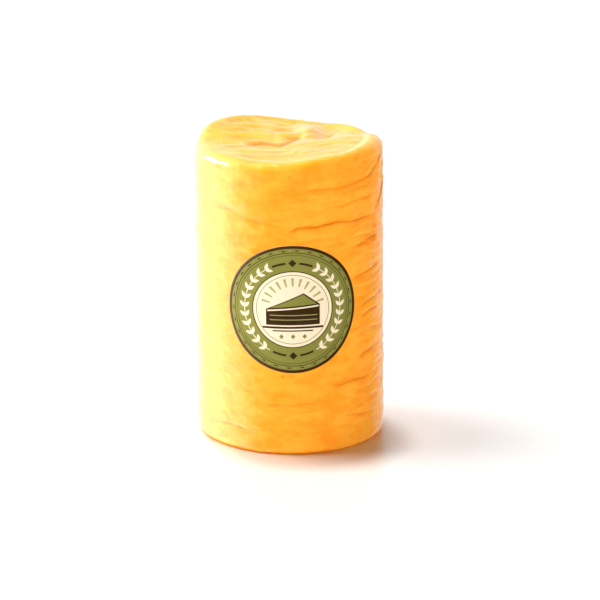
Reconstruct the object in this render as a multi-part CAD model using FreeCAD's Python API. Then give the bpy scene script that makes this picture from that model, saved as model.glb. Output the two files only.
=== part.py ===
import FreeCAD, Part
import math
import os

# Colby longhorn cheese: a short upright round of cheese, shrink-wrapped in clear film, with one round label stuck on its front.
# Millimetres, +Z up, origin at the middle of the flat base. The front, with the label, looks along -Y, and +X is at its right.
# phi is the angle round the axis: 0 at the front (-Y), +90 at the right (+X), 180 at the back, -90 at the left.

# ---- driving dimensions -------------------------------------------------
HEIGHT = 190.0            # mean height of the top rim's crest
R_BASE = 59.2             # radius of the side just above the base
R_TOP = 59.5              # radius of the side just under the rim
LEAN = 1.8                # the axis at the top stands this far left of the axis at the base
BASE_CORNER = 4.5         # rounding where the side meets the flat base

# height of the rim's crest above HEIGHT, every 22.5 degrees from phi = -180
RIM_RISE = [-0.9, 2.4, 4.4, 4.1, -0.8, -1.0, -0.4, -1.0,
            -0.7, 1.5, 2.2, 3.3, 2.9, -1.7, -1.0, -2.4]
# rounding of the rim, every 45 degrees from phi = -180
RIM_ROUND = [6.5, 5.9, 8.2, 6.4, 5.6, 4.8, 7.0, 6.2]
RIM_LIP = 8.0             # width of the band in which the rim drops to the sunken top face
TOP_SINK = 1.4            # how far the middle of the top face lies under HEIGHT

# folds pressed into the top face: x, y of both ends, width, depth
TOP_FOLDS = [
    (-31.0, -7.5, -17.5, -8.5, 4.5, 2.2),
    (-17.5, -8.5, -6.5, -11.0, 5.0, 2.8),
    (-6.5, -11.0, 3.0, 1.0, 5.0, 3.0),
    (3.0, 1.0, 10.5, 15.0, 5.0, 2.6),
    (-13.0, 23.5, 6.0, 22.5, 5.0, 1.6),
    (-44.0, 45.0, -18.0, 36.0, 5.0, 1.4),
    (18.0, 6.0, 35.0, 39.0, 6.0, 1.6),
    (33.6, 38.4, 48.0, 5.0, 4.5, 1.1),
]
# gentle swells of the top face: x, y, radius along x, radius along y, height
TOP_SWELLS = [
    (12.5, 28.0, 6.0, 15.0, 2.2),
    (-3.5, 17.5, 8.5, 6.0, 1.4),
    (38.0, 10.0, 13.0, 22.0, 1.6),
    (-30.0, 12.0, 18.0, 22.0, 0.6),
    (2.0, -26.0, 34.0, 12.0, 0.8),
]
# shallow grooves round the side: phi and z of both ends, width, depth
SIDE_GROOVES = [
    (-62.0, 158.0, -38.0, 157.0, 7.0, 0.7),
    (-38.0, 157.0, -18.0, 151.5, 7.0, 0.8),
    (-18.0, 151.5, 1.0, 147.0, 7.0, 0.7),
    (1.0, 146.0, 8.0, 148.3, 7.0, 0.8),
    (8.0, 148.3, 62.0, 148.5, 7.0, 1.0),
    (8.0, 173.5, 32.0, 171.7, 7.0, 0.6),
    (32.0, 171.7, 70.0, 174.0, 7.0, 0.9),
    (38.0, 111.0, 84.0, 115.0, 7.0, 0.7),
    (-64.0, 12.5, -40.0, 16.0, 6.0, 0.7),
    (-40.0, 16.0, -20.0, 11.5, 6.0, 0.6),
    (30.0, 22.5, 60.0, 19.5, 6.0, 0.5),
]
RIDGE_PITCH = 13.0        # spacing of the broad horizontal ridges of the side
RIDGE_HEIGHT = 0.45       # how far they stand out at the sides and the back

LABEL_RADIUS = 41.9       # of the round label, measured along the curved side
LABEL_PHI = 1.9           # where its middle is
LABEL_Z = 96.0
LABEL_THICK = 0.25
LABEL_SINK = 0.8          # the blank reaches this far under the side before it is cut to it

N_PHI = 96                # columns of the surface's net
N_SIDE = 62               # rows up the side
N_RIM = 7                 # rows over the rim
N_TOP = 18                # rows across the top face


# ---- helpers ------------------------------------------------------------
def around(values, phi):
    """A smooth closed curve through values spaced evenly from phi = -180."""
    n = len(values)
    t = (phi + 180.0) / 360.0 * n
    i = math.floor(t)
    f = t - i
    a, b, c, d = (values[(i + k) % n] for k in (-1, 0, 1, 2))
    return b + 0.5 * f * (c - a + f * (2 * a - 5 * b + 4 * c - d + f * (3 * (b - c) + d - a)))


def groove(px, py, ax, ay, bx, by, width, depth):
    """Depth at a point beside a straight groove that fades out past its ends."""
    dx, dy = bx - ax, by - ay
    t = ((px - ax) * dx + (py - ay) * dy) / (dx * dx + dy * dy)
    t = min(1.0, max(0.0, t))
    d = math.hypot(px - ax - t * dx, py - ay - t * dy)
    return depth * math.exp(-(2.0 * d / width) ** 2)


def swell(px, py, x, y, rx, ry, height):
    return height * math.exp(-(((px - x) / rx) ** 2 + ((py - y) / ry) ** 2))


def smooth(t):
    t = min(1.0, max(0.0, t))
    return t * t * (3.0 - 2.0 * t)


def wrap(phi):
    return (phi + 180.0) % 360.0 - 180.0


# ---- the form -----------------------------------------------------------
def rim_z(phi):
    return HEIGHT + around(RIM_RISE, phi)


def side_radius(phi, z):
    """Radius of the wrapped side: a near-cylinder that is not quite round, with ridges and grooves."""
    r = R_BASE + (R_TOP - R_BASE) * z / HEIGHT
    a = math.radians(phi)
    r += 0.35 * math.cos(2 * a + 0.6) + 0.2 * math.cos(3 * a - 1.1 + 0.012 * z)
    # broad ridges, weak on the smooth front under the label and stronger at the right and the back
    side = 0.35 + 0.65 * smooth((abs(wrap(phi - 10.0)) - 20.0) / 50.0)
    tilt = 5.0 * math.sin(a) + 2.0 * math.sin(2 * a + 0.5) + 1.5 * math.sin(3 * a - 0.04 * z)
    uneven = 0.65 + 0.35 * math.sin(2 * a + 0.045 * z) * math.sin(3 * a - 0.08 * z + 1.0)
    ends = smooth((z - 8.0) / 14.0) * smooth((172.0 - z) / 14.0)
    r += RIDGE_HEIGHT * side * uneven * ends * math.sin(2 * math.pi * (z - tilt) / RIDGE_PITCH)
    arc = math.radians(R_TOP)
    for a0, z0, a1, z1, width, depth in SIDE_GROOVES:
        r -= groove(phi * arc, z, a0 * arc, z0, a1 * arc, z1, width, depth)
    return r


def axis_x(z):
    return LEAN * (0.5 - z / HEIGHT)


def top_z(x, y, phi, q):
    """Height of the sunken top face at q, from 0 at the middle to 1 at the rim's inner edge."""
    inner = HEIGHT - TOP_SINK
    for s in TOP_SWELLS:
        inner += swell(x, y, *s)
    for g in TOP_FOLDS:
        inner -= groove(x, y, *g)
    reach = RIM_LIP / (R_TOP - 6.0)
    lip = smooth((q - 1.0 + reach * 1.8) / (reach * 1.8))
    return inner + (rim_z(phi) - inner) * lip


def surface_row(s, phi):
    """One point of the outer surface. s counts rows from the base's edge, up the side, over the rim, to the middle of the top."""
    rr = around(RIM_ROUND, phi)
    crest = rim_z(phi)
    if s < 4:                                     # base corner
        t = math.radians(90.0 * s / 4.0)
        z = BASE_CORNER * (1.0 - math.cos(t))
        r = side_radius(phi, BASE_CORNER) - BASE_CORNER * (1.0 - math.sin(t))
    elif s <= 4 + N_SIDE:                         # side
        t = (s - 4) / N_SIDE
        z = BASE_CORNER + (crest - rr - BASE_CORNER) * t
        r = side_radius(phi, z)
    elif s <= 4 + N_SIDE + N_RIM:                 # rim
        t = math.radians(90.0 * (s - 4 - N_SIDE) / N_RIM)
        z = crest - rr * (1.0 - math.sin(t))
        r = side_radius(phi, crest - rr) - rr * (1.0 - math.cos(t))
    else:                                         # top face
        q = 1.0 - (s - 4 - N_SIDE - N_RIM) / N_TOP
        r = (side_radius(phi, crest - rr) - rr) * q
        a = math.radians(phi)
        z = top_z(axis_x(HEIGHT) + r * math.sin(a), -r * math.cos(a), phi, q)
    a = math.radians(phi)
    return FreeCAD.Vector(axis_x(z) + r * math.sin(a), -r * math.cos(a), z)


def closed_skin(rows, columns):
    """A surface that closes round phi. rows run from an open edge to a single point."""
    net = []
    for j in range(columns):
        phi = -180.0 + 360.0 * j / columns
        net.append([row(phi) for row in rows])
    pole = FreeCAD.Vector(0, 0, 0)
    for column in net:
        pole = pole + column[-1]
    pole = pole * (1.0 / columns)
    for column in net:
        column[-1] = pole
    skin = Part.BSplineSurface()
    n = len(rows)
    skin.buildFromPolesMultsKnots(
        net,
        [1] * (columns + 1), [4] + [1] * (n - 4) + [4],
        [float(k) for k in range(columns + 1)], [float(k) for k in range(n - 2)],
        True, False, 3, 3)
    return skin


def build_cheese():
    count = 4 + N_SIDE + N_RIM + N_TOP + 1
    rows = [lambda phi, s=s: surface_row(s, phi) for s in range(count)]
    # the base's edge lies flat at z = 0
    skin = closed_skin(rows, N_PHI)
    side = skin.toShape()
    flat_edges = [e for e in side.Edges if e.BoundBox.ZMax < 1e-6]
    base = Part.Face(Part.Wire(flat_edges))
    if base.normalAt(0, 0).z > 0:
        base.reverse()                            # the base faces down
    shell = Part.Shell([side, base])
    solid = Part.Solid(shell)
    if solid.Volume < 0:
        solid.reverse()
    return solid


def build_label(cheese):
    """A thin round label that follows the curved side: a blank bent round the axis, cut off at the cheese's surface."""
    def at(rho, turn, lift):
        a = LABEL_PHI + math.degrees(rho * math.sin(turn) / R_TOP)
        z = LABEL_Z + rho * math.cos(turn)
        r = label_radius(a, z) + lift
        t = math.radians(a)
        return FreeCAD.Vector(axis_x(z) + r * math.sin(t), -r * math.cos(t), z)

    def label_radius(a, z):
        # the label bridges the narrow grooves, so it follows the side with its creases averaged out
        total = 0.0
        for da in (-4.0, 0.0, 4.0):
            for dz in (-6.0, -3.0, 0.0, 3.0, 6.0):
                total += side_radius(a + da, z + dz)
        return total / 15.0

    def disc(lift):
        steps = 14
        rows = []
        for k in range(steps + 1):
            rho = LABEL_RADIUS * (1.0 - k / steps)
            rows.append(lambda phi, rho=rho: at(rho, math.radians(phi), lift))
        return closed_skin(rows, 48).toShape()

    outer = disc(LABEL_THICK + 0.12)
    inner = disc(-LABEL_SINK)
    rim = Part.makeRuledSurface(longest_edge(outer), longest_edge(inner))
    shell = Part.makeShell([outer, inner] + rim.Faces)
    shell.sewShape()
    blank = Part.Solid(shell)
    if blank.Volume < 0:
        blank.reverse()
    label = blank.cut(cheese)
    return max(label.Solids, key=lambda s: s.Volume)


def longest_edge(shape):
    edges = [e for e in shape.Edges if not e.Degenerated]
    closed = [e for e in edges if e.isClosed()]
    return max(closed, key=lambda e: e.Length)


if __name__ == "__main__":
    os.makedirs("parts", exist_ok=True)
    cheese = build_cheese()
    print("cheese valid", cheese.isValid(), "volume ml", round(cheese.Volume / 1000.0, 1), "box", cheese.BoundBox)
    label = build_label(cheese)
    print("label valid", label.isValid(), "volume mm3", round(label.Volume, 1), "box", label.BoundBox)
    cheese.exportStep("parts/wrapped_cheese.step")
    label.exportStep("parts/label.step")
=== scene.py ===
import math

import bpy
import numpy as np
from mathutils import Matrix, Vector
from mathutils.geometry import delaunay_2d_cdt


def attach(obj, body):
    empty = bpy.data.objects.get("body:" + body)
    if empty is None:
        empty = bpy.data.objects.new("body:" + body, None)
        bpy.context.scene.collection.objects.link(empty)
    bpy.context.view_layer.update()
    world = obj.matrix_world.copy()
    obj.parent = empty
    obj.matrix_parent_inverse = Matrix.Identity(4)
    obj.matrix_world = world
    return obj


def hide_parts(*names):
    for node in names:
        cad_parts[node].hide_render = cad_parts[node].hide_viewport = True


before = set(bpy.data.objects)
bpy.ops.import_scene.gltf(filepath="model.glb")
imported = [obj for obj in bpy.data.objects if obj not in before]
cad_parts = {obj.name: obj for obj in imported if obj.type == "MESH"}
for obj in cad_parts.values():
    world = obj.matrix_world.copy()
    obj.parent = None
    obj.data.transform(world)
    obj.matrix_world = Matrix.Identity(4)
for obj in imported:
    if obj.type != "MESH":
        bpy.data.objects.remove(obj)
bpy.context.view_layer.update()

# ======================================================================
# The cheese's form, in millimetres and degrees. phi is the angle round the axis: 0 at the front (-Y), +90 at the right (+X).
# ======================================================================
HEIGHT, R_BASE, R_TOP, LEAN, BASE_CORNER = 190.0, 59.2, 59.5, 1.8, 4.5
RIM_RISE = [-0.9, 2.4, 4.4, 4.1, -0.8, -1.0, -0.4, -1.0, -0.7, 1.5, 2.2, 3.3, 2.9, -1.7, -1.0, -2.4]
RIM_ROUND = [6.5, 5.9, 8.2, 6.4, 5.6, 4.8, 7.0, 6.2]
RIM_LIP, TOP_SINK = 0.13, 1.4         # width of the raised rim as a part of the radius, and how far the face lies below it
NAVEL = (4.0, 16.0)                     # where the folds of the top face meet
ARC = math.radians(R_TOP)               # mm round the side for one degree

LABEL_RADIUS, LABEL_WIDE, LABEL_PHI, LABEL_Z = 41.4, 42.4, 1.9, 96.0

SIDE_GROOVES = [
    (-62.0, 158.0, -38.0, 157.0, 7.0, 0.5), (-38.0, 157.0, -18.0, 151.5, 7.0, 0.5), (-18.0, 151.5, 1.0, 147.0, 7.0, 0.4),
    (8.0, 148.3, 62.0, 148.5, 8.0, 0.7), (8.0, 173.5, 32.0, 171.7, 8.0, 0.5), (32.0, 171.7, 70.0, 174.0, 8.0, 0.7),
    (38.0, 111.0, 84.0, 115.0, 7.0, 0.5), (-64.0, 12.5, -40.0, 16.0, 6.0, 0.5), (-40.0, 16.0, -20.0, 11.5, 6.0, 0.5),
]
# sharp creases of the side: points (phi, z) along each, half width, depth
SIDE_CREASES = [
    ([(-61, 158.3), (-50, 158.2), (-36, 156.4), (-27, 152.9), (-16, 151.2), (-6, 149.0), (0, 147.4)], 1.0, 0.45),
    ([(0.3, 144.6), (2.5, 146.8), (5, 148.2), (11, 148.6), (17, 147.9), (24, 149.2), (30, 150.1), (37, 149.2), (43, 148.4), (55, 148.6), (66, 147.8)], 0.6, 1.0),
    ([(7, 173.8), (14, 172.3), (21, 171.9), (31, 171.7), (38, 171.9), (44, 172.4), (57, 173.6), (68, 176.0)], 0.9, 0.75),
    ([(-12, 170.0), (-4, 168.6), (4, 170.4), (9, 172.6)], 0.9, 0.25),
    ([(26, 161.0), (34, 159.6), (44, 161.5), (56, 160.8), (66, 162.5)], 0.9, 0.6),
    ([(-66, 12.6), (-61, 13.2), (-50, 14.7), (-40, 16.3), (-36, 15.1), (-31, 14.9), (-26, 13.2), (-21, 11.3)], 0.9, 0.6),
    ([(34, 22.8), (41, 22.2), (48, 20.6), (56, 20.0)], 0.8, 0.6),
    ([(-63, 163.5), (-57, 162.4), (-51, 163.0)], 0.8, 0.4),
    ([(24, 45.0), (32, 43.4), (40, 44.6), (52, 44.0), (60, 46.0)], 0.9, 0.7),
    ([(46, 58.0), (54, 60.0), (62, 60.8), (72, 63.5)], 0.9, 0.9),
    ([(-34, 42.5), (-24, 40.6), (-12, 40.9), (-4, 39.4)], 0.9, 0.35),
    ([(-30, 33.0), (-18, 34.0), (-6, 31.5), (6, 32.6), (16, 30.8)], 0.9, 0.35),
    ([(40, 111.0), (52, 112.0), (64, 113.6), (76, 114.6)], 0.9, 0.9),
    ([(44, 131.0), (56, 133.6), (68, 134.0), (80, 137.0)], 0.9, 0.9),
    ([(48, 84.0), (58, 86.6), (72, 87.0)], 0.8, 0.9),
    ([(80, 184.0), (71, 180.0), (64, 176.6), (59, 173.6)], 0.8, 1.2),
    ([(82, 166.0), (77, 158.0), (71, 152.6), (64, 150.0)], 0.7, 0.9),
]


def around(values, phi):
    n = len(values)
    t = (phi + 180.0) / 360.0 * n
    i = np.floor(t).astype(int)
    f = t - i
    v = np.asarray(values, float)
    a, b, c, d = (v[(i + k) % n] for k in (-1, 0, 1, 2))
    return b + 0.5 * f * (c - a + f * (2 * a - 5 * b + 4 * c - d + f * (3 * (b - c) + d - a)))


def smooth(t):
    t = np.clip(t, 0.0, 1.0)
    return t * t * (3.0 - 2.0 * t)


def wrap(phi):
    return (phi + 180.0) % 360.0 - 180.0


def seg_distance(px, py, ax, ay, bx, by):
    dx, dy = bx - ax, by - ay
    t = np.clip(((px - ax) * dx + (py - ay) * dy) / (dx * dx + dy * dy), 0, 1)
    return np.hypot(px - ax - t * dx, py - ay - t * dy), t


def polyline_distance(px, py, points):
    """Distance to a polyline, and how far along it the nearest point is, from 0 to 1."""
    best = np.full(np.shape(px), 1e9)
    along = np.zeros(np.shape(px))
    n = len(points) - 1
    for k in range(n):
        d, t = seg_distance(px, py, *points[k], *points[k + 1])
        near = d < best
        best = np.where(near, d, best)
        along = np.where(near, (k + t) / n, along)
    return best, along


def crease(px, py, points, half, depth):
    """A sharp valley with soft shoulders that fades at both ends."""
    d, t = polyline_distance(px, py, points)
    fade = smooth(t / 0.18) * smooth((1 - t) / 0.18)
    fade = 0.15 + 0.85 * fade
    return depth * fade * (0.65 * np.exp(-d / half) + 0.35 * np.exp(-(d / (2.4 * half)) ** 2))


def waves(phi, z, size_phi, size_z, count, seed):
    """Smooth noise of about unit height that closes round phi. The sizes are wavelengths in mm."""
    rng = np.random.RandomState(seed)
    a = np.radians(phi)
    out = np.zeros(np.broadcast(phi, z).shape)
    total = 0.0
    for _ in range(count):
        kp = int(round(rng.normal(0, 2 * math.pi * R_TOP / size_phi)))
        kz = rng.normal(0, 2 * math.pi / size_z)
        h = 1.0 / (1.0 + 0.15 * math.hypot(kp * size_phi / (2 * math.pi * R_TOP), kz * size_z / (2 * math.pi)) ** 2)
        out += h * np.cos(kp * a + kz * z + rng.uniform(0, 2 * math.pi))
        total += 0.5 * h * h
    return out / math.sqrt(total)


def strength_of_ridges(phi, z):
    """How strongly the side is ridged: strong at the right, less at the left, weak on the smooth front, strong again at the back."""
    p = wrap(phi)
    right = smooth((p - 22.0) / 30.0) * smooth((128.0 - p) / 25.0)
    left = smooth((-p - 34.0) / 30.0) * smooth((135.0 + p) / 25.0)
    back = smooth((np.abs(p) - 105.0) / 25.0)
    s = 0.30 + 0.70 * right + 0.25 * left + 0.45 * back
    return s * smooth((z - 16.0) / 22.0) * (0.55 + 0.45 * smooth((164.0 - z) / 22.0)) * smooth((181.0 - z) / 12.0)


def random_creases(phi, z):
    """The many thin, nearly level creases pressed in where the wrap shrank. Returns their depth, and a mask of their
    bottoms that is used as painted shade in the colour.
    """
    rng = np.random.RandomState(41)
    out = np.zeros(np.shape(phi))
    core = np.zeros(np.shape(phi))
    for row in np.arange(8.0, 183.0, 3.3):
        for _ in range(6):
            centre = rng.uniform(-180, 180)
            length = rng.uniform(12, 46)            # mm, half of it
            zc = row + rng.uniform(-1.8, 1.8)
            tilt = rng.normal(0.055, 0.045)
            bend = rng.normal(0, 0.0020)
            wob, wlen, ph0 = rng.uniform(0.15, 0.55), rng.uniform(7, 16), rng.uniform(0, 6.28)
            wob2, wlen2, ph2 = rng.uniform(0.05, 0.20), rng.uniform(2.5, 5), rng.uniform(0, 6.28)
            half = rng.uniform(0.42, 0.70)
            depth = rng.uniform(0.25, 1.0) ** 1.5
            x = wrap(phi - centre) * ARC
            near = (np.abs(x) < length) & (np.abs(z - zc) < 12)
            xs, zs = x[near], z[near]
            zc_ = zc + tilt * xs + bend * xs * xs + wob * np.sin(xs * 2 * math.pi / wlen + ph0) + wob2 * np.sin(xs * 2 * math.pi / wlen2 + ph2)
            below = zc_ - zs
            # steeper above than below, as in a fold that laps down
            d = np.where(below > 0, below, -0.55 * below)
            fade = smooth((1 - np.abs(xs) / length) / 0.5)
            out[near] = np.maximum(out[near], depth * fade * (0.65 * np.exp(-d / half) + 0.35 * np.exp(-(d / (2.8 * half)) ** 2)))
            core[near] = np.maximum(core[near], depth * fade * np.exp(-d / (0.75 * half)))
    return out, core


def lobes(phi, z):
    """Rows of soft pillows that lap downwards: each swells slowly and drops quickly at its lower edge. From 0 in a valley to 1."""
    a = np.radians(phi)
    tilt = 4.6 * np.sin(a) + 1.4 * np.sin(2 * a + 0.5) + 0.9 * np.sin(3 * a - 0.03 * z)
    t = (z - tilt + 1.5 * waves(phi, z, 46.0, 40.0, 14, 5)) / 6.3
    t = t - np.floor(t)
    rise = smooth(np.minimum(t / 0.22, 1.0))
    fall = smooth(np.minimum((1.0 - t) / 0.78, 1.0))
    return rise * fall


def under_label(phi, z):
    """1 where the stiff label presses the surface smooth."""
    far = np.hypot(wrap(phi - LABEL_PHI) * ARC / LABEL_WIDE, (z - LABEL_Z) / LABEL_RADIUS)
    return smooth((1.06 - far) / 0.10)


def side_relief(phi, z):
    """(height of the side's relief in mm, painted shade for its creases, lobe valleys and pinhole, from 0 to about 1)
    """
    s = strength_of_ridges(phi, z)
    patch = smooth(0.5 + 0.60 * waves(phi, z, 38.0, 24.0, 16, 9))
    patch2 = smooth(0.5 + 0.60 * waves(phi, z, 30.0, 16.0, 16, 19))
    p = wrap(phi)
    right = smooth((p - 28.0) / 26.0) * smooth((128.0 - p) / 20.0)
    lobe = lobes(phi, z)
    amount = s * (0.20 + 0.80 * patch) * (0.30 + 0.70 * right)
    h = 0.72 * amount * (lobe - 0.70)
    # painted shade: the valleys between the lobes, the crease bottoms and the pinhole are marked here to be painted
    # darker in the colour
    crease_shade = 0.45 * amount * np.clip(1 - lobe / 0.45, 0, 1) ** 1.5
    rc, core = random_creases(phi, z)
    part = (0.72 + 0.28 * s) * (0.50 + 0.50 * patch2)
    h = h - 0.48 * rc * part
    crease_shade = crease_shade + 1.00 * core * part
    for points, half, depth in SIDE_CREASES:
        c = crease(phi * ARC, z, [(p_ * ARC, q) for p_, q in points], half, depth)
        h = h - 0.75 * c
        crease_shade = crease_shade + 0.50 * c + 0.75 * crease(phi * ARC, z, [(p_ * ARC, q) for p_, q in points], 0.45, depth)
    for a0, z0, a1, z1, width, depth in SIDE_GROOVES:
        d, _ = seg_distance(phi * ARC, z, a0 * ARC, z0, a1 * ARC, z1)
        h = h - 0.6 * depth * np.exp(-(2.0 * d / width) ** 2)
    h = h + 0.16 * waves(phi, z, 34.0, 20.0, 30, 21) + 0.09 * waves(phi, z, 15.0, 6.0, 40, 22) + 0.03 * waves(phi, z, 6.0, 3.2, 60, 23)
    # a pinhole below the label: a small dent, painted dark inside as painted shade
    pin = np.exp(-((wrap(phi + 4.9) * ARC / 0.9) ** 2 + ((z - 52.2) / 0.7) ** 2))
    h = h - 0.5 * pin
    crease_shade = crease_shade + 1.4 * pin
    flat = under_label(phi, z)
    return h * (1 - 0.92 * flat) - 0.12 * flat, crease_shade * (1 - flat)


def side_radius(phi, z, relief):
    a = np.radians(phi)
    r = R_BASE + (R_TOP - R_BASE) * z / HEIGHT
    r = r + 0.35 * np.cos(2 * a + 0.6) + 0.2 * np.cos(3 * a - 1.1 + 0.012 * z)
    return r + relief


def axis_x(z):
    return LEAN * (0.5 - z / HEIGHT)


def rim_z(phi):
    return HEIGHT + around(RIM_RISE, phi)


# ---- the top face ------------------------------------------------------
# laps of the top face: a sharp lip in front of a slope that rises towards the back. Points from left to right, width of the lip, width of the slope, depth
TOP_LAPS = [
    # the main fold
    ([(-31.0, -7.2), (-27.0, -8.8), (-22.2, -10.8), (-17.5, -7.8), (-11.2, -9.6), (-6.5, -12.0), (-1.8, -5.6), (3.0, 1.0), (8.4, 9.0), (10.5, 15.0)], 0.5, 8.0, 3.2),
    ([(-6.0, 8.4), (-1.0, 9.2), (3.5, 10.6), (7.5, 13.0), (11.0, 15.0)], 0.6, 3.6, 1.85),
    ([(-13.0, 23.0), (-9.0, 24.6), (-4.0, 25.4), (1.0, 24.6), (6.0, 22.4)], 0.8, 4.5, 2.1),
    # pleats of the left half
    ([(-45.0, 15.6), (-38.0, 15.2), (-30.3, 16.1), (-20.8, 16.7), (-10.5, 15.2)], 0.5, 3.2, 1.55),
    ([(-46.0, 30.6), (-40.8, 31.4), (-36.1, 33.0), (-29.5, 31.4)], 0.5, 3.0, 1.45),
    ([(-39.0, 22.6), (-33.0, 25.6), (-28.1, 27.6), (-20.9, 27.4), (-14.5, 25.6)], 0.5, 3.2, 1.35),
    ([(-47.5, 8.8), (-42.9, 8.3), (-30.3, 7.4), (-18.0, 7.6), (-10.5, 7.0)], 0.5, 3.0, 1.3),
    ([(-48.5, 1.8), (-42.0, 0.8), (-30.2, 1.0), (-21.0, 2.6)], 0.5, 2.6, 1.1),
    ([(-52.1, -6.2), (-45.0, -5.0), (-38.0, -5.4), (-29.0, -7.0)], 0.5, 3.0, 1.0),
    ([(-46.0, 21.4), (-37.0, 20.0), (-28.0, 21.2), (-20.0, 22.0)], 0.5, 2.6, 1.1),
    ([(-44.0, 45.6), (-38.0, 45.0), (-32.0, 45.6), (-26.6, 42.6), (-21.0, 37.4), (-15.0, 33.0)], 0.6, 3.5, 1.3),
    ([(-46.0, 38.0), (-38.0, 37.4), (-30.0, 38.6), (-23.0, 36.8)], 0.5, 2.8, 1.1),
    ([(-13.0, 37.0), (-5.0, 40.0), (2.0, 43.5), (7.0, 44.5)], 0.6, 4.0, 1.2),
    # front pleats
    ([(-24.0, -18.6), (-14.0, -17.0), (-6.5, -17.0), (1.0, -18.5)], 0.5, 2.5, 0.35),
    ([(-20.0, -23.2), (-8.0, -22.4), (-1.8, -20.2), (4.0, -14.6), (9.8, -8.0)], 0.5, 2.5, 0.42),
    ([(-19.0, -30.0), (-8.0, -31.0), (1.0, -30.0)], 0.5, 2.5, 0.25),
    ([(2.0, -32.8), (5.0, -29.0), (8.0, -25.4)], 0.5, 2.2, 0.6),
    ([(6.5, -35.2), (12.0, -31.0), (16.9, -27.3), (24.0, -22.5), (32.1, -16.6)], 0.5, 2.4, 0.45),
    ([(13.0, -20.8), (22.0, -14.0), (31.0, -9.0)], 0.5, 2.2, 0.32),
    ([(-42.0, -17.0), (-32.0, -14.4), (-24.0, -14.5)], 0.5, 2.4, 0.45),
]
# sharp creases of the top: points, half width, depth
TOP_CREASES = [
    ([(17.5, 5.0), (20.4, 12.0), (24.6, 20.0), (30.0, 29.0), (35.0, 39.0)], 1.4, 1.0),
    ([(33.6, 38.4), (38.0, 31.0), (42.6, 22.2), (46.0, 12.0), (48.6, 1.0)], 0.8, 1.1),
    ([(-10.6, 24.0), (-10.2, 12.0), (-10.4, 0.0)], 1.6, 0.5),
]
# soft rises and hollows of the top: x, y, radii, height
TOP_SWELLS = [
    (-3.5, 17.5, 8.5, 6.0, 1.6), (12.5, 28.0, 6.0, 15.0, 2.6), (23.5, 24.0, 5.5, 15.0, -2.3), (30.0, 38.0, 6.0, 8.0, -1.2),
    (38.0, 10.0, 13.0, 22.0, 1.6), (-30.0, 12.0, 18.0, 22.0, 0.6), (2.0, -26.0, 34.0, 12.0, 0.8), (8.0, -6.0, 12.0, 8.0, 0.8),
    (24.0, -4.0, 14.0, 9.0, 0.6), (-12.0, 34.0, 10.0, 5.0, 0.6),
]


def lap(x, y, points, lip, slope, depth):
    px, py = np.array([p[0] for p in points]), np.array([p[1] for p in points])
    d = y - np.interp(x, px, py)
    t = (x - px[0]) / (px[-1] - px[0])
    soft = 0.35 if depth < 2.5 else 0.20
    fade = smooth(t / soft) * smooth((1 - t) / soft)
    core = fade * np.exp(-np.abs(d - 0.3) / 0.50)
    return depth * fade * np.where(d < 0, np.exp(np.minimum(d, 0) / lip), np.exp(-(np.maximum(d, 0) / slope) ** 1.3)), core


def plane_waves(x, y, size_x, size_y, count, seed):
    rng = np.random.RandomState(seed)
    out = np.zeros(np.shape(x))
    for _ in range(count):
        kx = rng.normal(0, 2 * math.pi / size_x)
        ky = rng.normal(0, 2 * math.pi / size_y)
        out += np.cos(kx * x + ky * y + rng.uniform(0, 2 * math.pi))
    return out / math.sqrt(count / 2)


def top_inner(x, y):
    """(height of the top face's features in mm, painted shade for its creases, pleats and hollows)"""
    h = np.zeros(np.shape(x))
    for sx, sy, rx, ry, up in TOP_SWELLS:
        h = h + up * np.exp(-(((x - sx) / rx) ** 2 + ((y - sy) / ry) ** 2))
    # painted shade: the hollows behind the laps, their lips and the creases are marked to be painted darker orange,
    # more at the left of the main fold
    crease_shade = np.zeros(np.shape(x))
    for points, lip, slope, depth in TOP_LAPS:
        c, core = lap(x, y, points, lip, slope, depth)
        h = h - c
        if depth < 1.9:
            crease_shade = crease_shade + (0.85 if points[0][0] < -25 and points[0][1] > -10 else 0.55) * c * (c / depth) ** 2.0
        else:
            left = 1.0 + (0.50 if depth > 2.5 else 0.0) * smooth((-x - 4.0) / 10.0)
            crease_shade = crease_shade + left * (0.95 * smooth(c / (0.60 * depth)) + 0.45 * np.exp(-((c / depth - 0.62) / 0.10) ** 2))
        crease_shade = crease_shade + core * min(1.0, 0.50 * depth)
    for points, half, depth in TOP_CREASES:
        c = crease(x, y, points, half, depth)
        h = h - c
        crease_shade = crease_shade + 0.5 * c
    # small pleats that run left to right, most of them on the left half
    reach = smooth((57.0 - np.hypot(x, y)) / 7.0)
    rng = np.random.RandomState(78)
    fine = np.zeros(np.shape(x))
    for _ in range(46):
        yc = rng.uniform(-46, 44)
        xc = rng.uniform(-44, -14) if rng.rand() < 0.75 else rng.uniform(-8, 40)
        length = rng.uniform(8, 20)
        tilt, bend = rng.normal(0.02 if xc < 0 else 0.40, 0.06), rng.normal(0, 0.004)
        half, depth = rng.uniform(0.5, 0.8), rng.uniform(0.2, 0.7)
        xs = x - xc
        d = y - yc - tilt * xs - bend * xs * xs
        d = np.where(d < 0, -1.6 * d, 0.6 * d)
        fine = np.maximum(fine, depth * smooth((1 - np.abs(xs) / length) / 0.6) * np.exp(-d / half))
    fine = (0.40 + 0.35 * smooth((y + 24.0) / 20.0)) * fine * reach
    h = h - fine
    # painted shade in the valleys of the small pleats
    crease_shade = crease_shade + 0.55 * fine
    h = h + 0.14 * plane_waves(x, y, 40.0, 18.0, 24, 31) + 0.035 * plane_waves(x, y, 14.0, 6.0, 40, 32)
    return h, crease_shade


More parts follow.
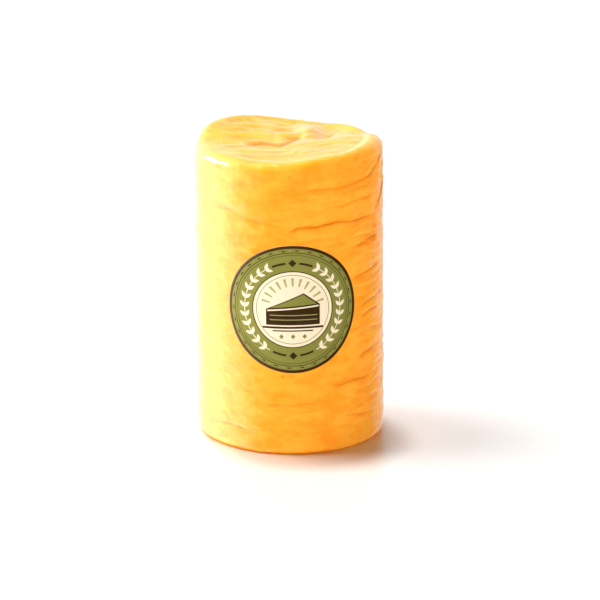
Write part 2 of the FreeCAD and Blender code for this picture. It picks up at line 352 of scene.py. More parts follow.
def top_height(x, y, phi, q):
    """q is the distance from the middle as a part of the face's radius."""
    inner, crease_shade = top_inner(x, y + 3.0)
    rise = rim_z(phi) - HEIGHT
    # the face lies lowest at the right and in front, and comes up nearly level with the rim at the left
    sink = TOP_SINK * (1 - 0.85 * smooth((-x - 2.0) / 42.0))
    base = HEIGHT + 0.95 * rise * q * q - sink
    lip = smooth((q - 1.0 + RIM_LIP) / RIM_LIP)
    edge = smooth((q - 0.84) / 0.13)
    return (base + inner * (1 - edge)) * (1 - lip) + rim_z(phi) * lip, crease_shade * (1 - edge)


# ======================================================================
# Meshes
# ======================================================================
def skin(columns, side_rows, rim_rows, top_rows, lift, extra=None):
    """The whole outer surface, lift mm outside the cheese. Returns vertices in mm, faces, and the painted crease shade
    of each vertex.
    """
    phi1 = np.linspace(-180.0, 180.0, columns, endpoint=False)
    rr1 = around(RIM_ROUND, phi1)
    crest1 = rim_z(phi1)
    xs, ys, zs, cs = [], [], [], []
    a1 = np.radians(phi1)

    def add(r, z, c):
        xs.append(axis_x(z) + r * np.sin(a1))
        ys.append(-r * np.cos(a1))
        zs.append(z + 0 * a1)
        cs.append(c + 0 * a1)

    # under the base: two rings of the flat bottom, then the corner
    low_h, low_c = side_relief(phi1, np.full(columns, BASE_CORNER))
    foot = side_radius(phi1, BASE_CORNER + 0 * phi1, low_h)
    for q in (0.34, 0.67, 0.93):
        add((foot - BASE_CORNER) * q, np.full(columns, -lift + 0.0), 0 * a1)
    for t in np.radians(np.linspace(0, 90, 9)[:-1]):
        add(foot - BASE_CORNER + (BASE_CORNER + lift) * np.sin(t), BASE_CORNER - (BASE_CORNER + lift) * np.cos(t) + 0 * a1, low_c * np.sin(t))
    # side
    T, P = np.meshgrid(np.linspace(0, 1, side_rows), phi1, indexing="ij")
    top_of_side = np.broadcast_to(crest1 - rr1, P.shape)
    Z = BASE_CORNER + (top_of_side - BASE_CORNER) * T
    H, C = side_relief(P, Z)
    if extra is not None:
        H = H + extra(P, Z)
    R = side_radius(P, Z, H) + lift
    for k in range(side_rows):
        add(R[k], Z[k], C[k])
    # rim
    edge, edge_c = R[-1] - lift, C[-1]
    for j in range(1, rim_rows + 1):
        t = math.radians(90.0 * j / rim_rows)
        add(edge - rr1 + (rr1 + lift) * math.cos(t), crest1 - rr1 + (rr1 + lift) * math.sin(t), edge_c * math.cos(t))
    # top
    rim_x = axis_x(HEIGHT)
    for j in range(1, top_rows):
        q = 1.0 - j / top_rows
        r = (edge - rr1) * q
        x, y = rim_x + r * np.sin(a1), -r * np.cos(a1)
        z, c = top_height(x, y, phi1, np.full(columns, q))
        xs.append(x); ys.append(y); zs.append(z + lift); cs.append(c)
    verts = np.stack([np.array(xs), np.array(ys), np.array(zs)], -1)
    crease_shade_values = np.array(cs)
    rows = len(xs)
    flat = verts.reshape(-1, 3)
    z_mid, c_mid = top_height(np.array([rim_x]), np.array([0.0]), np.array([0.0]), np.array([0.0]))
    flat = np.vstack([flat, [[axis_x(0.0), 0.0, -lift]], [[rim_x, 0.0, z_mid[0] + lift]]])
    crease_shade_values = np.append(crease_shade_values.reshape(-1), [0.0, c_mid[0]])
    i = np.arange(rows - 1)[:, None] * columns
    j = np.arange(columns)[None, :]
    jn = (j + 1) % columns
    quads = np.stack([i + j, i + jn, i + columns + jn, i + columns + j], -1).reshape(-1, 4)
    bottom, top = rows * columns, rows * columns + 1
    j = np.arange(columns)
    jn = (j + 1) % columns
    fan0 = np.stack([np.full(columns, bottom), jn, j], -1)
    last = (rows - 1) * columns
    fan1 = np.stack([last + j, last + jn, np.full(columns, top)], -1)
    return flat, quads, [fan0, fan1], crease_shade_values


def make_mesh(name, verts_mm, quads, fans, attributes=None):
    mesh = bpy.data.meshes.new(name)
    faces = [tuple(f) for f in quads.tolist()]
    for fan in fans:
        faces += [tuple(f) for f in fan.tolist()]
    mesh.from_pydata((verts_mm * 0.001).tolist(), [], faces)
    mesh.polygons.foreach_set("use_smooth", np.ones(len(mesh.polygons), bool))
    for key, values in (attributes or {}).items():
        a = mesh.attributes.new(key, "FLOAT", "POINT")
        a.data.foreach_set("value", np.asarray(values, np.float32))
    mesh.validate()
    mesh.update()
    obj = bpy.data.objects.new(name, mesh)
    bpy.context.scene.collection.objects.link(obj)
    return obj


# ======================================================================
# Materials
# ======================================================================
class Nodes:
    """A small helper that adds and links shader nodes."""

    def __init__(self, name):
        self.mat = bpy.data.materials.new(name)
        self.mat.use_nodes = True
        self.tree = self.mat.node_tree
        self.tree.nodes.clear()
        self.out = self.tree.nodes.new("ShaderNodeOutputMaterial")

    def new(self, kind, values=None, **props):
        n = self.tree.nodes.new(kind)
        for k, v in props.items():
            setattr(n, k, v)
        for k, v in (values or {}).items():
            self.put(n.inputs[k], v)
        return n

    def put(self, socket, v):
        if isinstance(v, bpy.types.NodeSocket):
            self.tree.links.new(v, socket)
        else:
            socket.default_value = v

    def math(self, op, a, b=0.5, clamp=False):
        n = self.tree.nodes.new("ShaderNodeMath")
        n.operation = op
        n.use_clamp = clamp
        self.put(n.inputs[0], a)
        if len(n.inputs) > 1:
            self.put(n.inputs[1], b)
        return n.outputs[0]

    def ramp(self, value, low, high, to_low=0.0, to_high=1.0, smoothly=True):
        n = self.new("ShaderNodeMapRange", interpolation_type="SMOOTHSTEP" if smoothly else "LINEAR")
        self.put(n.inputs["Value"], value)
        for k, v in (("From Min", low), ("From Max", high), ("To Min", to_low), ("To Max", to_high)):
            n.inputs[k].default_value = v
        return n.outputs["Result"]

    def mix(self, factor, a, b):
        n = self.new("ShaderNodeMix", data_type="RGBA", blend_type="MIX")
        self.put(n.inputs["Factor"], factor)
        for s, v in ((n.inputs[6], a), (n.inputs[7], b)):
            self.put(s, v if isinstance(v, bpy.types.NodeSocket) else (*v, 1.0))
        return n.outputs[2]

    def noise(self, vector, scale, detail=2.0, rough=0.5, distortion=0.0):
        n = self.new("ShaderNodeTexNoise", {"Scale": scale, "Detail": detail, "Roughness": rough, "Distortion": distortion})
        self.put(n.inputs["Vector"], vector)
        return n.outputs["Fac"]

    def scaled(self, vector, x, y, z):
        n = self.new("ShaderNodeMapping")
        self.put(n.inputs["Vector"], vector)
        n.inputs["Scale"].default_value = (x, y, z)
        return n.outputs["Vector"]


def linear(r, g, b):
    def one(c):
        c /= 255.0
        return c / 12.92 if c <= 0.04045 else ((c + 0.055) / 1.055) ** 2.4
    return (one(r), one(g), one(b))


def cheese_material():
    n = Nodes("colby_cheese")
    where = n.new("ShaderNodeTexCoord").outputs["Object"]
    crease_shade = n.new("ShaderNodeAttribute", attribute_name="crease_shade").outputs["Fac"]
    # colour: cloudy, knitted curd with a little lighter and deeper orange
    cloud = n.noise(n.scaled(where, 1.0, 1.0, 1.9), 62.0, 3.0, 0.55, 0.5)
    streak = n.noise(n.scaled(where, 0.32, 0.32, 1.0), 190.0, 3.0, 0.6, 0.3)
    curd = n.new("ShaderNodeTexVoronoi", {"Scale": 165.0, "Randomness": 1.0, "Smoothness": 0.6}, feature="SMOOTH_F1")
    n.put(curd.inputs["Vector"], where)
    grain = n.noise(where, 900.0, 2.0, 0.6)
    base = n.mix(n.ramp(cloud, 0.32, 0.68), (0.93, 0.295, 0.008), (0.95, 0.375, 0.024))
    base = n.mix(n.ramp(streak, 0.52, 0.78, 0.0, 0.35), base, (0.95, 0.445, 0.055))
    base = n.mix(n.ramp(streak, 0.46, 0.26, 0.0, 0.35), base, (0.91, 0.250, 0.004))
    base = n.mix(n.ramp(curd.outputs["Distance"], 0.15, 0.75, 0.0, 0.20), base, (0.95, 0.43, 0.045))
    base = n.mix(n.ramp(grain, 0.45, 0.75, 0.0, 0.12), base, (0.92, 0.48, 0.10))
    # painted shade: the creases, lobe valleys, hollows and pinhole marked in the crease_shade attribute are painted
    # darker and deeper orange, the deepest ones brownish
    base = n.mix(n.ramp(crease_shade, 0.05, 0.90, 0.0, 0.90), base, (0.88, 0.215, 0.001))
    base = n.mix(n.ramp(crease_shade, 0.45, 1.25, 0.0, 0.62), base, (0.50, 0.165, 0.006))
    # fine pleats of the top face, which run from left to right: dented by the bump, and painted darker in their valleys
    # as painted shade
    up = n.new("ShaderNodeSeparateXYZ")
    n.put(up.inputs[0], n.new("ShaderNodeNewGeometry").outputs["Normal"])
    on_top = n.ramp(up.outputs["Z"], 0.55, 0.85)
    pleat = n.noise(n.scaled(where, 0.20, 1.0, 0.20), 290.0, 3.0, 0.62, 0.9)
    pleats = n.math("MULTIPLY", n.ramp(pleat, 0.44, 0.34), on_top)
    # painted shade in the pleats' valleys
    base = n.mix(n.math("MULTIPLY", pleats, 0.50), base, (0.68, 0.190, 0.004))
    # pinholes: small dents in the bump, painted dark inside as painted shade
    pin = n.new("ShaderNodeTexVoronoi", {"Scale": 85.0, "Randomness": 1.0}, feature="F1")
    n.put(pin.inputs["Vector"], where)
    pins = n.ramp(pin.outputs["Distance"], 0.035, 0.075, 1.0, 0.0)
    base = n.mix(n.math("MULTIPLY", pins, 0.45), base, (0.60, 0.15, 0.004))
    fine = n.noise(where, 420.0, 3.0, 0.6)
    height = n.math("ADD", n.math("MULTIPLY", streak, 0.8), n.math("MULTIPLY", fine, 0.25))
    height = n.math("SUBTRACT", height, n.math("MULTIPLY", pins, 0.5))
    height = n.math("SUBTRACT", height, n.math("MULTIPLY", pleats, 1.7))
    bump = n.new("ShaderNodeBump", {"Strength": 0.40, "Distance": 0.0010})
    n.put(bump.inputs["Height"], height)
    p = n.new("ShaderNodeBsdfPrincipled", {"Roughness": 0.5, "IOR": 1.4, "Subsurface Weight": 0.55, "Subsurface Scale": 0.0018})
    p.subsurface_method = "RANDOM_WALK"
    p.inputs["Subsurface Radius"].default_value = (1.0, 0.40, 0.10)
    p.inputs["Specular IOR Level"].default_value = 0.15
    n.put(p.inputs["Base Color"], base)
    n.put(p.inputs["Normal"], bump.outputs["Normal"])
    n.tree.links.new(p.outputs[0], n.out.inputs["Surface"])
    return n.mat


def film_material():
    n = Nodes("clear_film")
    where = n.new("ShaderNodeTexCoord").outputs["Object"]
    # fine tension wrinkles that run round the side, and a soft orange-peel
    pull = n.noise(n.scaled(where, 0.22, 0.22, 1.0), 420.0, 3.0, 0.6, 0.5)
    peel = n.noise(where, 150.0, 2.0, 0.5)
    ripple = n.noise(where, 620.0, 2.0, 0.5)
    height = n.math("ADD", n.math("MULTIPLY", pull, 0.55), n.math("MULTIPLY", peel, 0.7))
    height = n.math("ADD", height, n.math("MULTIPLY", ripple, 0.10))
    pleat = n.noise(n.scaled(where, 0.20, 1.0, 0.20), 290.0, 3.0, 0.62, 0.9)
    height = n.math("ADD", height, n.math("MULTIPLY", pleat, 0.30))
    bump = n.new("ShaderNodeBump", {"Strength": 0.6, "Distance": 0.0009})
    n.put(bump.inputs["Height"], height)
    fresnel = n.new("ShaderNodeFresnel", {"IOR": 1.5})
    n.put(fresnel.inputs["Normal"], bump.outputs["Normal"])
    gloss = n.new("ShaderNodeBsdfGlossy", {"Roughness": 0.19})
    gloss.inputs["Color"].default_value = (1, 1, 1, 1)
    n.put(gloss.inputs["Normal"], bump.outputs["Normal"])
    clear = n.new("ShaderNodeBsdfTransparent")
    clear.inputs["Color"].default_value = (1, 1, 1, 1)
    facing = n.new("ShaderNodeSeparateXYZ")
    n.put(facing.inputs[0], n.new("ShaderNodeNewGeometry").outputs["Normal"])
    # painted shade: the reflection fades out where the film faces down towards the floor, standing in for the floor's
    # occlusion at the foot
    above = n.ramp(facing.outputs["Z"], -0.60, -0.20)
    mix = n.new("ShaderNodeMixShader")
    n.put(mix.inputs[0], n.math("MULTIPLY", fresnel.outputs[0], above))
    n.tree.links.new(clear.outputs[0], mix.inputs[1])
    n.tree.links.new(gloss.outputs[0], mix.inputs[2])
    n.tree.links.new(mix.outputs[0], n.out.inputs["Surface"])
    return n.mat


def ink_material(name, colour, spread=0.06):
    n = Nodes(name)
    where = n.new("ShaderNodeTexCoord").outputs["Object"]
    fibre = n.noise(where, 1400.0, 3.0, 0.6)
    cloud = n.noise(where, 60.0, 2.0, 0.5)
    dark = tuple(c * (1 - spread) for c in colour)
    light = tuple(min(1.0, c * (1 + spread)) for c in colour)
    base = n.mix(n.ramp(n.math("ADD", n.math("MULTIPLY", fibre, 0.5), n.math("MULTIPLY", cloud, 0.5)), 0.35, 0.65), dark, light)
    bump = n.new("ShaderNodeBump", {"Strength": 0.25, "Distance": 0.0006})
    n.put(bump.inputs["Height"], n.math("ADD", n.math("MULTIPLY", cloud, 1.0), n.math("MULTIPLY", fibre, 0.06)))
    p = n.new("ShaderNodeBsdfPrincipled", {"Roughness": 0.38, "IOR": 1.5})
    p.inputs["Specular IOR Level"].default_value = 0.18
    n.put(p.inputs["Base Color"], base)
    n.put(p.inputs["Roughness"], n.ramp(cloud, 0.3, 0.7, 0.32, 0.45))
    n.put(p.inputs["Normal"], bump.outputs["Normal"])
    n.tree.links.new(p.outputs[0], n.out.inputs["Surface"])
    return n.mat


# ======================================================================
# The label: a generic print of plain shapes, in label units (1 = the label's radius)
# ======================================================================
def disc(cx, cy, r, steps=48, rx=None):
    rx = rx or r
    return [(cx + rx * math.cos(2 * math.pi * k / steps), cy + r * math.sin(2 * math.pi * k / steps)) for k in range(steps)]


def bar(x0, y0, x1, y1, corner=0.0, steps=5):
    if corner <= 0:
        return [(x0, y0), (x1, y0), (x1, y1), (x0, y1)]
    pts = []
    for cx, cy, a in ((x1 - corner, y0 + corner, -90), (x1 - corner, y1 - corner, 0), (x0 + corner, y1 - corner, 90), (x0 + corner, y0 + corner, 180)):
        for k in range(steps + 1):
            t = math.radians(a + 90.0 * k / steps)
            pts.append((cx + corner * math.cos(t), cy + corner * math.sin(t)))
    return pts


def arc_band(r0, r1, a0, a1, steps):
    """A piece of a ring between two angles, in degrees, anticlockwise from +x."""
    out = [(r1 * math.cos(math.radians(a0 + (a1 - a0) * k / steps)), r1 * math.sin(math.radians(a0 + (a1 - a0) * k / steps))) for k in range(steps + 1)]
    out += [(r0 * math.cos(math.radians(a1 + (a0 - a1) * k / steps)), r0 * math.sin(math.radians(a1 + (a0 - a1) * k / steps))) for k in range(steps + 1)]
    return out


def leaf(x, y, turn, length, width, steps=7):
    """A pointed leaf from x, y along turn degrees."""
    c, s = math.cos(math.radians(turn)), math.sin(math.radians(turn))
    side = [(length * k / steps, width * math.sin(math.pi * (k / steps) ** 0.85)) for k in range(steps + 1)]
    pts = [(u, v) for u, v in side] + [(u, -v) for u, v in reversed(side[1:-1])]
    return [(x + u * c - v * s, y + u * s + v * c) for u, v in pts]


def label_shapes():
    """(colour name, outline) in painting order: an olive field, a pale roundel with a wedge of cheese on a board, and a wreath of plain leaves."""
    shapes = [("brown", disc(0, 0, 1.0, 160)), ("olive", disc(0, 0, 0.955, 160))]
    for r, w in ((0.890, 0.0055), (0.852, 0.0035)):
        shapes += [("brown", disc(0, 0, r + w, 128)), ("olive", disc(0, 0, r - w, 128))]
    # the roundel
    shapes += [
        ("brown", disc(0, 0, 0.605, 96)), ("cream", disc(0, 0, 0.590, 96)),
        ("olive", disc(0, 0, 0.545, 96)), ("cream", disc(0, 0, 0.535, 96)),
    ]
    # rays behind the wedge
    for k in range(11):
        a = 15.0 + 15.0 * k
        c, q = math.cos(math.radians(a)), math.sin(math.radians(a))
        w = 0.011
        shapes.append(("olive_light", [(0.345 * c + w * q, 0.02 + 0.345 * q - w * c), (0.475 * c + 1.8 * w * q, 0.02 + 0.475 * q - 1.8 * w * c),
                                       (0.475 * c - 1.8 * w * q, 0.02 + 0.475 * q + 1.8 * w * c), (0.345 * c - w * q, 0.02 + 0.345 * q + w * c)]))
    # the wedge: a dark cut side, an olive top face, a pale edge between
    shapes += [
        ("brown", [(-0.395, 0.005), (0.16, 0.255), (0.40, 0.075), (0.40, -0.245), (-0.395, -0.245)]),
        ("olive", [(-0.330, 0.020), (0.155, 0.232), (0.355, 0.082)]),
        ("cream", [(-0.375, -0.008), (0.38, 0.060), (0.38, 0.036), (-0.375, -0.030)]),
        ("olive_light", bar(-0.34, -0.098, 0.36, -0.086)),
        ("olive_light", bar(-0.34, -0.168, 0.36, -0.156)),
        ("brown", bar(-0.45, -0.300, 0.45, -0.268, 0.014)),
        ("brown", bar(-0.30, -0.345, 0.30, -0.325, 0.009)),
    ]
    for x in (-0.17, 0.0, 0.17):
        shapes.append(("olive", [(x - 0.034, -0.425), (x, -0.465), (x + 0.034, -0.425), (x, -0.385)]))
    # a wreath: pairs of leaves along a thin stem at both sides
    for side in (-1, 1):
        stem = arc_band(0.724, 0.736, -62.0, 62.0, 40)
        shapes.append(("cream", [(side * x, y) for x, y in stem]))
        for k in range(11):
            a = -57.0 + 11.4 * k
            x, y = 0.730 * math.cos(math.radians(a)), 0.730 * math.sin(math.radians(a))
            for lean in (-40.0, 40.0):
                shapes.append(("cream", [(side * px, py) for px, py in leaf(x, y, a + 90.0 + lean, 0.118, 0.026)]))
    # a diamond between two bars above and below
    for up in (-1, 1):
        shapes.append(("brown", [(-0.060, up * 0.728), (0.0, up * 0.668), (0.060, up * 0.728), (0.0, up * 0.788)]))
        for a in (74.0, 106.0):
            shapes.append(("brown", [(x, up * y) for x, y in arc_band(0.712, 0.745, a - 8.0, a + 8.0, 6)]))
    # dashes round the outer ring
    for k in range(60):
        a = 6.0 * k + 2.0
        if k % 2 == 0:
            shapes.append(("brown", arc_band(0.914, 0.930, a - 1.7, a + 1.7, 3)))
        else:
            shapes.append(("olive_light", disc(0.922 * math.cos(math.radians(a)), 0.922 * math.sin(math.radians(a)), 0.008, 10)))
    return shapes


def inside(px, py, outline):
    """Even-odd test of many points against one outline."""
    o = np.asarray(outline, float)
    x0, y0 = o[:, 0], o[:, 1]
    x1, y1 = np.roll(x0, -1), np.roll(y0, -1)
    hit = np.zeros(px.shape, bool)
    for a, b, c, d in zip(x0, y0, x1, y1):
        if b == d:
            continue
        crosses = (b > py) != (d > py)
        at = (c - a) * (py - b) / (d - b) + a
        hit ^= crosses & (px < at)
    return hit


def label_surface(u, v):
    """Vertices in mm for label units, on the side's form with its creases smoothed, since stiff paper bridges them."""
    phi = LABEL_PHI + np.degrees(u * LABEL_WIDE / R_TOP)
    z = LABEL_Z + v * LABEL_RADIUS
    total = np.zeros(np.shape(u))
    for dp in (-5.0, -2.5, 0.0, 2.5, 5.0):
        for dz in (-6.0, -3.0, 0.0, 3.0, 6.0):
            h, _ = side_relief(phi + dp, z + dz)
            total += h
    h = total / 25.0
    far = np.hypot(u, v)
    lift = 0.50 + 0.16 * smooth((far - 0.93) / 0.07) * (0.5 + 0.5 * np.sin(3 * np.arctan2(v, u) + 0.7))
    return phi, z, side_radius(phi, z, h) + lift


def build_label():
    shapes = label_shapes()
    verts, edges = [], []
    for _, corners in shapes:
        # long edges are divided so that the print follows the curve of the side
        outline = []
        for (ax, ay), (bx, by) in zip(corners, corners[1:] + corners[:1]):
            parts = max(1, math.ceil(math.hypot(bx - ax, by - ay) / 0.05))
            outline += [(ax + (bx - ax) * k / parts, ay + (by - ay) * k / parts) for k in range(parts)]
        start = len(verts)
        verts += [Vector(p) for p in outline]
        edges += [(start + k, start + (k + 1) % len(outline)) for k in range(len(outline))]
    step = 0.055
    n = int(1 / step) + 1
    for i in range(-n, n + 1):
        for j in range(-n, n + 1):
            x, y = i * step, j * step
            if math.hypot(x, y) < 0.955:
                verts.append(Vector((x + 0.0007 * ((i * 7 + j * 3) % 5), y + 0.0007 * ((i * 3 + j * 5) % 7))))
    out = delaunay_2d_cdt(verts, edges, [], 0, 1e-5)
    pts = np.array([tuple(p) for p in out[0]])
    tris = np.array([t for t in out[2] if len(t) == 3])
    centre = pts[tris].mean(1)
    names = ["brown", "olive", "cream", "olive_light"]
    owner = np.full(len(tris), -1)
    for colour, outline in shapes:
        owner[inside(centre[:, 0], centre[:, 1], outline)] = names.index(colour)
    keep = owner >= 0
    tris, owner = tris[keep], owner[keep]
    area = (pts[tris[:, 1]] - pts[tris[:, 0]])[:, 0] * (pts[tris[:, 2]] - pts[tris[:, 0]])[:, 1] - (pts[tris[:, 1]] - pts[tris[:, 0]])[:, 1] * (pts[tris[:, 2]] - pts[tris[:, 0]])[:, 0]
    tris[area < 0] = tris[area < 0][:, ::-1]
    used = np.unique(tris)
    back = -np.ones(len(pts), int)
    back[used] = np.arange(len(used))
    pts, tris = pts[used], back[tris]
    phi, z, r = label_surface(pts[:, 0], pts[:, 1])
    a = np.radians(phi)

    def place(radius):
        return np.stack([axis_x(z) + radius * np.sin(a), -radius * np.cos(a), z], -1)

    thick = 0.30
    front, rear = place(r), place(r - thick)
    count = len(pts)
    # the rim of the disc is each edge that has one face
    seen = {}
    for t in tris.tolist():
        for k in range(3):
            e = (t[k], t[(k + 1) % 3])
            seen[e] = seen.get(e, 0) + 1
    rim = [e for e in seen if (e[1], e[0]) not in seen]
    faces = [tuple(t) for t in tris.tolist()]
    faces += [(t[2] + count, t[1] + count, t[0] + count) for t in tris.tolist()]
    faces += [(e[1], e[0], e[0] + count, e[1] + count) for e in rim]
    mesh = bpy.data.meshes.new("round_label")
    mesh.from_pydata((np.vstack([front, rear]) * 0.001).tolist(), [], faces)
    mats = [
        ink_material("ink_dark_brown", linear(54, 35, 10), 0.12),
        ink_material("ink_olive", linear(123, 120, 53), 0.05),
        ink_material("label_cream", linear(224, 206, 176), 0.02),
        ink_material("ink_light_olive", linear(158, 152, 92), 0.05),
        ink_material("label_back_paper", linear(236, 234, 226), 0.02),
    ]
    for m in mats:
        mesh.materials.append(m)
    index = owner.tolist() + [4] * len(tris) + [4] * len(rim)
    mesh.polygons.foreach_set("material_index", np.array(index, np.int32))
    mesh.polygons.foreach_set("use_smooth", np.array([True] * len(tris) + [True] * len(tris) + [False] * len(rim), bool))
    mesh.validate()
    mesh.update()
    obj = bpy.data.objects.new("round_label", mesh)
    bpy.context.scene.collection.objects.link(obj)
    return obj


# ======================================================================
# Build
# ======================================================================
FILM_LIFT = 0.24
# ridges where spare film is gathered into thin folds: points (phi, z), half width, height
FILM_FOLDS = [
    ([(79, 189), (75, 182), (71, 175), (67, 170)], 0.55, 0.75),
    ([(84, 180), (79, 173), (75, 168)], 0.50, 0.6),
    ([(-52, 176), (-47, 171), (-44, 168)], 0.5, 0.35),
    ([(76, 185), (70, 182.5), (64, 179.5), (59, 177)], 0.75, 0.95),
    ([(82, 173), (79, 164), (74, 157), (66, 153.5)], 0.65, 0.85),
    ([(71, 175), (67, 168), (63, 162)], 0.6, 0.55),
    ([(-63, 127.8), (-56, 126.6), (-48, 126.2)], 0.65, 0.50),
    ([(-62, 155.6), (-57, 155.0), (-50, 155.2)], 0.65, 0.45),
    ([(-69, 76.4), (-65, 75.4), (-60, 75.0)], 0.65, 0.45),
    ([(-64, 63.2), (-58, 62.0), (-52, 61.4)], 0.65, 0.50),
    ([(-64, 12.8), (-56, 11.2), (-47, 11.5)], 0.70, 0.55),
    ([(-66, 97.0), (-60, 96.0), (-54, 95.6)], 0.65, 0.40),
    ([(-70, 140.0), (-65, 139.0), (-60, 139.4)], 0.65, 0.40),
    ([(96, 186), (101, 178), (108, 168), (112, 160)], 0.55, 0.7),
    ([(150, 187), (146, 178), (140, 170)], 0.55, 0.6),
    ([(-150, 188), (-143, 178), (-139, 169)], 0.55, 0.6),
    ([(-96, 16), (-91, 9), (-84, 6)], 0.55, 0.5),
    ([(118, 8), (124, 14), (131, 22)], 0.55, 0.6),
    ([(86, 60), (90, 48), (92, 36)], 0.5, 0.4),
    ([(172, 150), (175, 110), (173, 70), (176, 30)], 0.6, 0.6),
]


def film_wrinkles(P, Z):
    h, crease_shade = side_relief(P, Z)
    flat = 1 - under_label(P, Z)
    out = -0.25 * h * (h < 0) + flat * (0.05 * waves(P, Z, 26.0, 4.0, 40, 51) + 0.035 * waves(P, Z, 7.0, 6.0, 40, 52))
    for points, half, height in FILM_FOLDS:
        d, t = polyline_distance(wrap(P - points[0][0]) * ARC, Z, [(wrap(p - points[0][0]) * ARC, q) for p, q in points])
        out = out + flat * height * smooth(t / 0.2) * smooth((1 - t) / 0.2) * np.exp(-(d / half) ** 2)
    return out


verts, quads, fans, crease_shade_values = skin(300, 240, 9, 66, 0.0)
cheese = make_mesh("cheese_round", verts, quads, fans, {"crease_shade": crease_shade_values})
cheese.data.materials.append(cheese_material())

verts, quads, fans, crease_shade_values = skin(300, 250, 9, 56, FILM_LIFT, film_wrinkles)
verts[:, 2] = np.maximum(verts[:, 2], 0.0)
film = make_mesh("clear_wrap", verts, quads, fans)
film.data.materials.append(film_material())
film.visible_diffuse = False
film.visible_shadow = False
film.visible_transmission = False

label = build_label()

for piece, slot in ((cheese, "cheese"), (film, "cheese"), (label, "label")):
    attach(piece, "root")
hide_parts("wrapped_cheese")
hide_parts("wrapped_cheese")
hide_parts("label")

# ---- floor -------------------------------------------------------------
def floor_material():
    n = Nodes("pale_floor")
    p = n.new("ShaderNodeBsdfPrincipled", {"Roughness": 0.22, "IOR": 1.6})
    p.inputs["Specular IOR Level"].default_value = 0.7
    p.inputs["Base Color"].default_value = (0.90, 0.895, 0.885, 1)
    n.tree.links.new(p.outputs[0], n.out.inputs["Surface"])
    return n.mat


floor_mesh = bpy.data.meshes.new("floor")
S = 14.0
floor_mesh.from_pydata([(-S, -S, 0), (S, -S, 0), (S, S, 0), (-S, S, 0)], [], [(0, 1, 2, 3)])
floor = bpy.data.objects.new("floor", floor_mesh)
floor.location.z = -0.00005
bpy.context.scene.collection.objects.link(floor)
floor_mesh.materials.append(floor_material())
floor.visible_glossy = False

# ---- world and lights ----------------------------------------------------
# The studio has a white backdrop behind, a bright table and window at the left, and is dim in front and at the right.
world = bpy.data.worlds.new("studio")
bpy.context.scene.world = world
world.use_nodes = True
wt = world.node_tree
wt.nodes.clear()


def w_new(kind, **props):
    node = wt.nodes.new(kind)
    for k, v in props.items():
        setattr(node, k, v)
    return node


def w_math(op, a, b=0.5, c=None):
    node = w_new("ShaderNodeMath", operation=op)
    for k, v in enumerate((a, b, c)):
        if v is None:
            continue
        if isinstance(v, bpy.types.NodeSocket):
            wt.links.new(v, node.inputs[k])
        else:
            node.inputs[k].default_value = v
    return node.outputs[0]


def w_ramp(value, low, high, to_low=0.0, to_high=1.0):
    node = w_new("ShaderNodeMapRange", interpolation_type="SMOOTHSTEP")
    wt.links.new(value, node.inputs["Value"])
    for k, v in (("From Min", low), ("From Max", high), ("To Min", to_low), ("To Max", to_high)):
        node.inputs[k].default_value = v
    return node.outputs["Result"]


def w_background(strength):
    node = w_new("ShaderNodeBackground")
    node.inputs["Color"].default_value = (1, 1, 1, 1)
    if isinstance(strength, bpy.types.NodeSocket):
        wt.links.new(strength, node.inputs["Strength"])
    else:
        node.inputs["Strength"].default_value = strength
    return node.outputs[0]


w_dir = w_new("ShaderNodeTexCoord").outputs["Generated"]
w_sep = w_new("ShaderNodeSeparateXYZ")
wt.links.new(w_dir, w_sep.inputs[0])
X, Y, Z = w_sep.outputs
flat = w_math("SQRT", w_math("ADD", w_math("MULTIPLY", X, X), w_math("MULTIPLY", Y, Y)))
ux, uy = w_math("DIVIDE", X, flat), w_math("DIVIDE", Y, flat)
KEY_AZ = math.radians(-97.0)
to_key = w_math("ADD", w_math("MULTIPLY", ux, math.sin(KEY_AZ)), w_math("MULTIPLY", uy, -math.cos(KEY_AZ)))
band = w_math("POWER", w_math("MAXIMUM", to_key, 0.0), 4.0)
back = w_ramp(uy, 0.50, 0.92)
high = w_ramp(Z, 0.02, 0.30)
# what gloss sees: a bright band at the left, the backdrop behind, some brightness above the horizon at the right
GLOSS_BAND, GLOSS_BACK, GLOSS_HIGH = 4.2, 0.80, 0.30
seen = w_math("ADD", w_math("MULTIPLY", band, GLOSS_BAND), w_math("MULTIPLY", back, w_ramp(ux, 0.1, -0.5, GLOSS_BACK, 1.35)))
seen = w_math("ADD", seen, w_math("MULTIPLY", w_math("MULTIPLY", high, w_ramp(uy, -0.3, 0.5)), GLOSS_HIGH))
seen = w_math("MULTIPLY", w_math("ADD", seen, 0.05), w_ramp(Z, 0.10, 0.45, 1.0, 0.75))
lit = w_ramp(Y, 0.1, 0.8, 0.05, 0.68)
w_path = w_new("ShaderNodeLightPath")
w_a = w_new("ShaderNodeMixShader")
wt.links.new(w_path.outputs["Is Glossy Ray"], w_a.inputs[0])
wt.links.new(w_background(lit), w_a.inputs[1])
wt.links.new(w_background(seen), w_a.inputs[2])
w_b = w_new("ShaderNodeMixShader")
wt.links.new(w_path.outputs["Is Camera Ray"], w_b.inputs[0])
wt.links.new(w_a.outputs[0], w_b.inputs[1])
wt.links.new(w_background(1.05), w_b.inputs[2])
w_out = w_new("ShaderNodeOutputWorld")
wt.links.new(w_b.outputs[0], w_out.inputs["Surface"])


def aim(obj, at):
    obj.rotation_euler = (Vector(at) - obj.location).to_track_quat("-Z", "Y").to_euler()


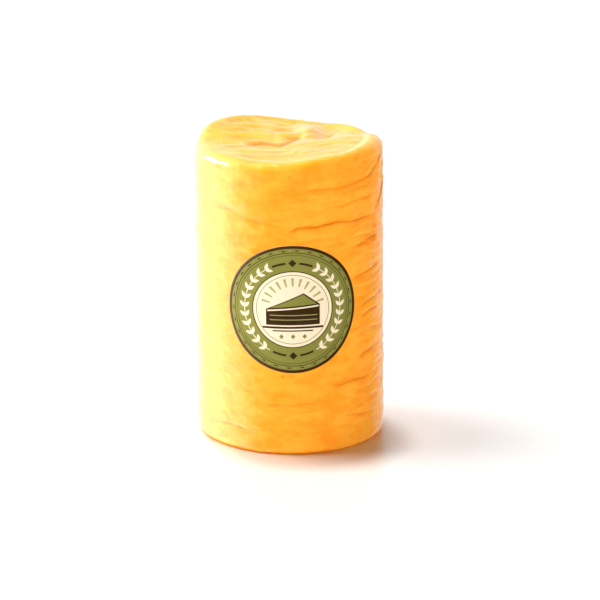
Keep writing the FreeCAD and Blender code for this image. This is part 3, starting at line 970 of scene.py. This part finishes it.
def sun(name, azimuth, elevation, angle, strength, glossy=True):
    """azimuth as phi: 0 from the front, -90 from the left."""
    light = bpy.data.lights.new(name, "SUN")
    light.energy = strength
    light.angle = math.radians(angle)
    obj = bpy.data.objects.new(name, light)
    a, e = math.radians(azimuth), math.radians(elevation)
    obj.location = (3 * math.sin(a) * math.cos(e), -3 * math.cos(a) * math.cos(e), 3 * math.sin(e))
    aim(obj, (0, 0, 0))
    obj.visible_glossy = glossy
    bpy.context.scene.collection.objects.link(obj)
    return obj


def softbox(name, azimuth, elevation, distance, width, height, power, glossy=True):
    light = bpy.data.lights.new(name, "AREA")
    light.shape = "RECTANGLE"
    light.size, light.size_y = width, height
    light.energy = power
    obj = bpy.data.objects.new(name, light)
    a, e = math.radians(azimuth), math.radians(elevation)
    obj.location = (distance * math.sin(a) * math.cos(e), -distance * math.cos(a) * math.cos(e), 0.10 + distance * math.sin(e))
    aim(obj, (0, 0, 0.10))
    obj.visible_glossy = glossy
    bpy.context.scene.collection.objects.link(obj)
    return obj


def only_object(light):
    """Light that the white table throws back up: it reaches the cheese and not the table."""
    light.light_linking.receiver_collection = object_only


object_only = bpy.data.collections.new("lit_by_table")
for piece in (cheese, film, label):
    object_only.objects.link(piece)

sun("overhead", -152, 80.5, 8, 1.95, glossy=False)
only_object(softbox("window", -99, 58, 1.3, 0.75, 0.75, 14.5, glossy=False))
window_floor = sun("window_floor", -102, 57, 30, 1.95, glossy=False)
softbox("lamp", -103, 20, 1.6, 1.25, 0.38, 9.0, glossy=True)
only_object(sun("table_left", -92, 6, 40, 2.9, glossy=False))
only_object(sun("table_near", -50, 5, 50, 3.6, glossy=False))
only_object(sun("table_right", 54, 5, 50, 3.3, glossy=False))
under = sun("under", 0, -75, 30, 0.65, glossy=False)
only_object(under)
under.light_linking.blocker_collection = object_only
strip = softbox("strip", -107, 22, 1.6, 0.95, 0.35, 24.0, glossy=True)
strip.visible_diffuse = False

table_only = bpy.data.collections.new("lit_by_foot")
table_only.objects.link(floor)
window_floor.light_linking.receiver_collection = table_only

# ---- camera ----------------------------------------------------------------
camera_data = bpy.data.cameras.new("camera")
camera = bpy.data.objects.new("camera", camera_data)
bpy.context.scene.collection.objects.link(camera)
camera_data.sensor_width = 36.0
camera_data.lens = 269.8
camera_data.clip_start = 0.05
camera_data.clip_end = 60.0
E = math.radians(17.0)
target = Vector((0.00643, 0.0, 0.08400))
camera.location = target + 2.86 * Vector((0.0, -math.cos(E), math.sin(E)))
aim(camera, target)
bpy.context.scene.camera = camera

bpy.context.scene.view_settings.view_transform = "Standard"
bpy.context.scene.view_settings.look = "None"
